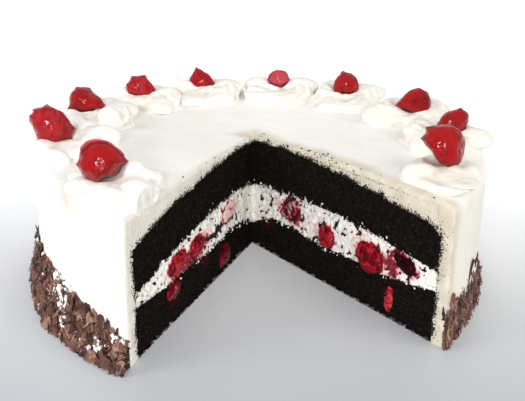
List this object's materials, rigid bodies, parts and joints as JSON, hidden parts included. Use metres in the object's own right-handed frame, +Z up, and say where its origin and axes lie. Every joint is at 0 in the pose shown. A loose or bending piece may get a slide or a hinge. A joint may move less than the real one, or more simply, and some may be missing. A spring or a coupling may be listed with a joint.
{
  "type": "black forest cake",
  "caption": "Round black forest cake with a wedge taken out, showing dark sponges, cream and cherry filling, with a cream coat, piped border, cherries and shavings round the foot.",
  "frame": {"origin": "on the plate, under the middle of the whole cake's bounding box, which is also the centre of the round coat; the wedge is open over it", "axes": "+Z up through the top of the cake; -Y points out of the open wedge, towards the viewer; +X to the viewer's right"},
  "size_m": [0.2485, 0.2511, 0.0921],
  "materials": {
    "chocolate_sponge": "open dark chocolate crumb, dry and porous, no sheen",
    "whipped_cream": "soft whipped cream, off-white, satin and slightly translucent",
    "glazed_cherry": "wet glossy preserved fruit, bright red, darker at the folds",
    "stewed_cherry": "wet stewed fruit, dark red",
    "chocolate_shavings": "dull milky brown chocolate flakes and curls"
  },
  "bodies": {
    "root": {"cherry_01": "glazed_cherry", "cherry_02": "glazed_cherry", "cherry_03": "glazed_cherry", "cherry_04": "glazed_cherry", "cherry_05": "glazed_cherry", "cherry_06": "glazed_cherry", "cherry_07": "glazed_cherry", "cherry_08": "glazed_cherry", "cherry_09": "glazed_cherry", "cherry_10": "glazed_cherry", "dollop_01": "whipped_cream", "dollop_02": "whipped_cream", "dollop_03": "whipped_cream", "dollop_04": "whipped_cream", "dollop_05": "whipped_cream", "dollop_06": "whipped_cream", "dollop_07": "whipped_cream", "dollop_08": "whipped_cream", "dollop_09": "whipped_cream", "dollop_10": "whipped_cream", "filling_cherry_01": "stewed_cherry", "filling_cherry_02": "stewed_cherry", "filling_cherry_03": "stewed_cherry", "filling_cherry_04": "stewed_cherry", "filling_cherry_05": "stewed_cherry", "filling_cherry_06": "stewed_cherry", "filling_cherry_07": "stewed_cherry", "filling_cherry_08": "stewed_cherry", "filling_cherry_09": "stewed_cherry", "filling_cherry_10": "stewed_cherry", "filling_cream": "whipped_cream", "frosting": "whipped_cream", "shavings_band": "chocolate_shavings", "sponge_bottom": "chocolate_sponge", "sponge_top": "chocolate_sponge"}
  },
  "joints": []
}
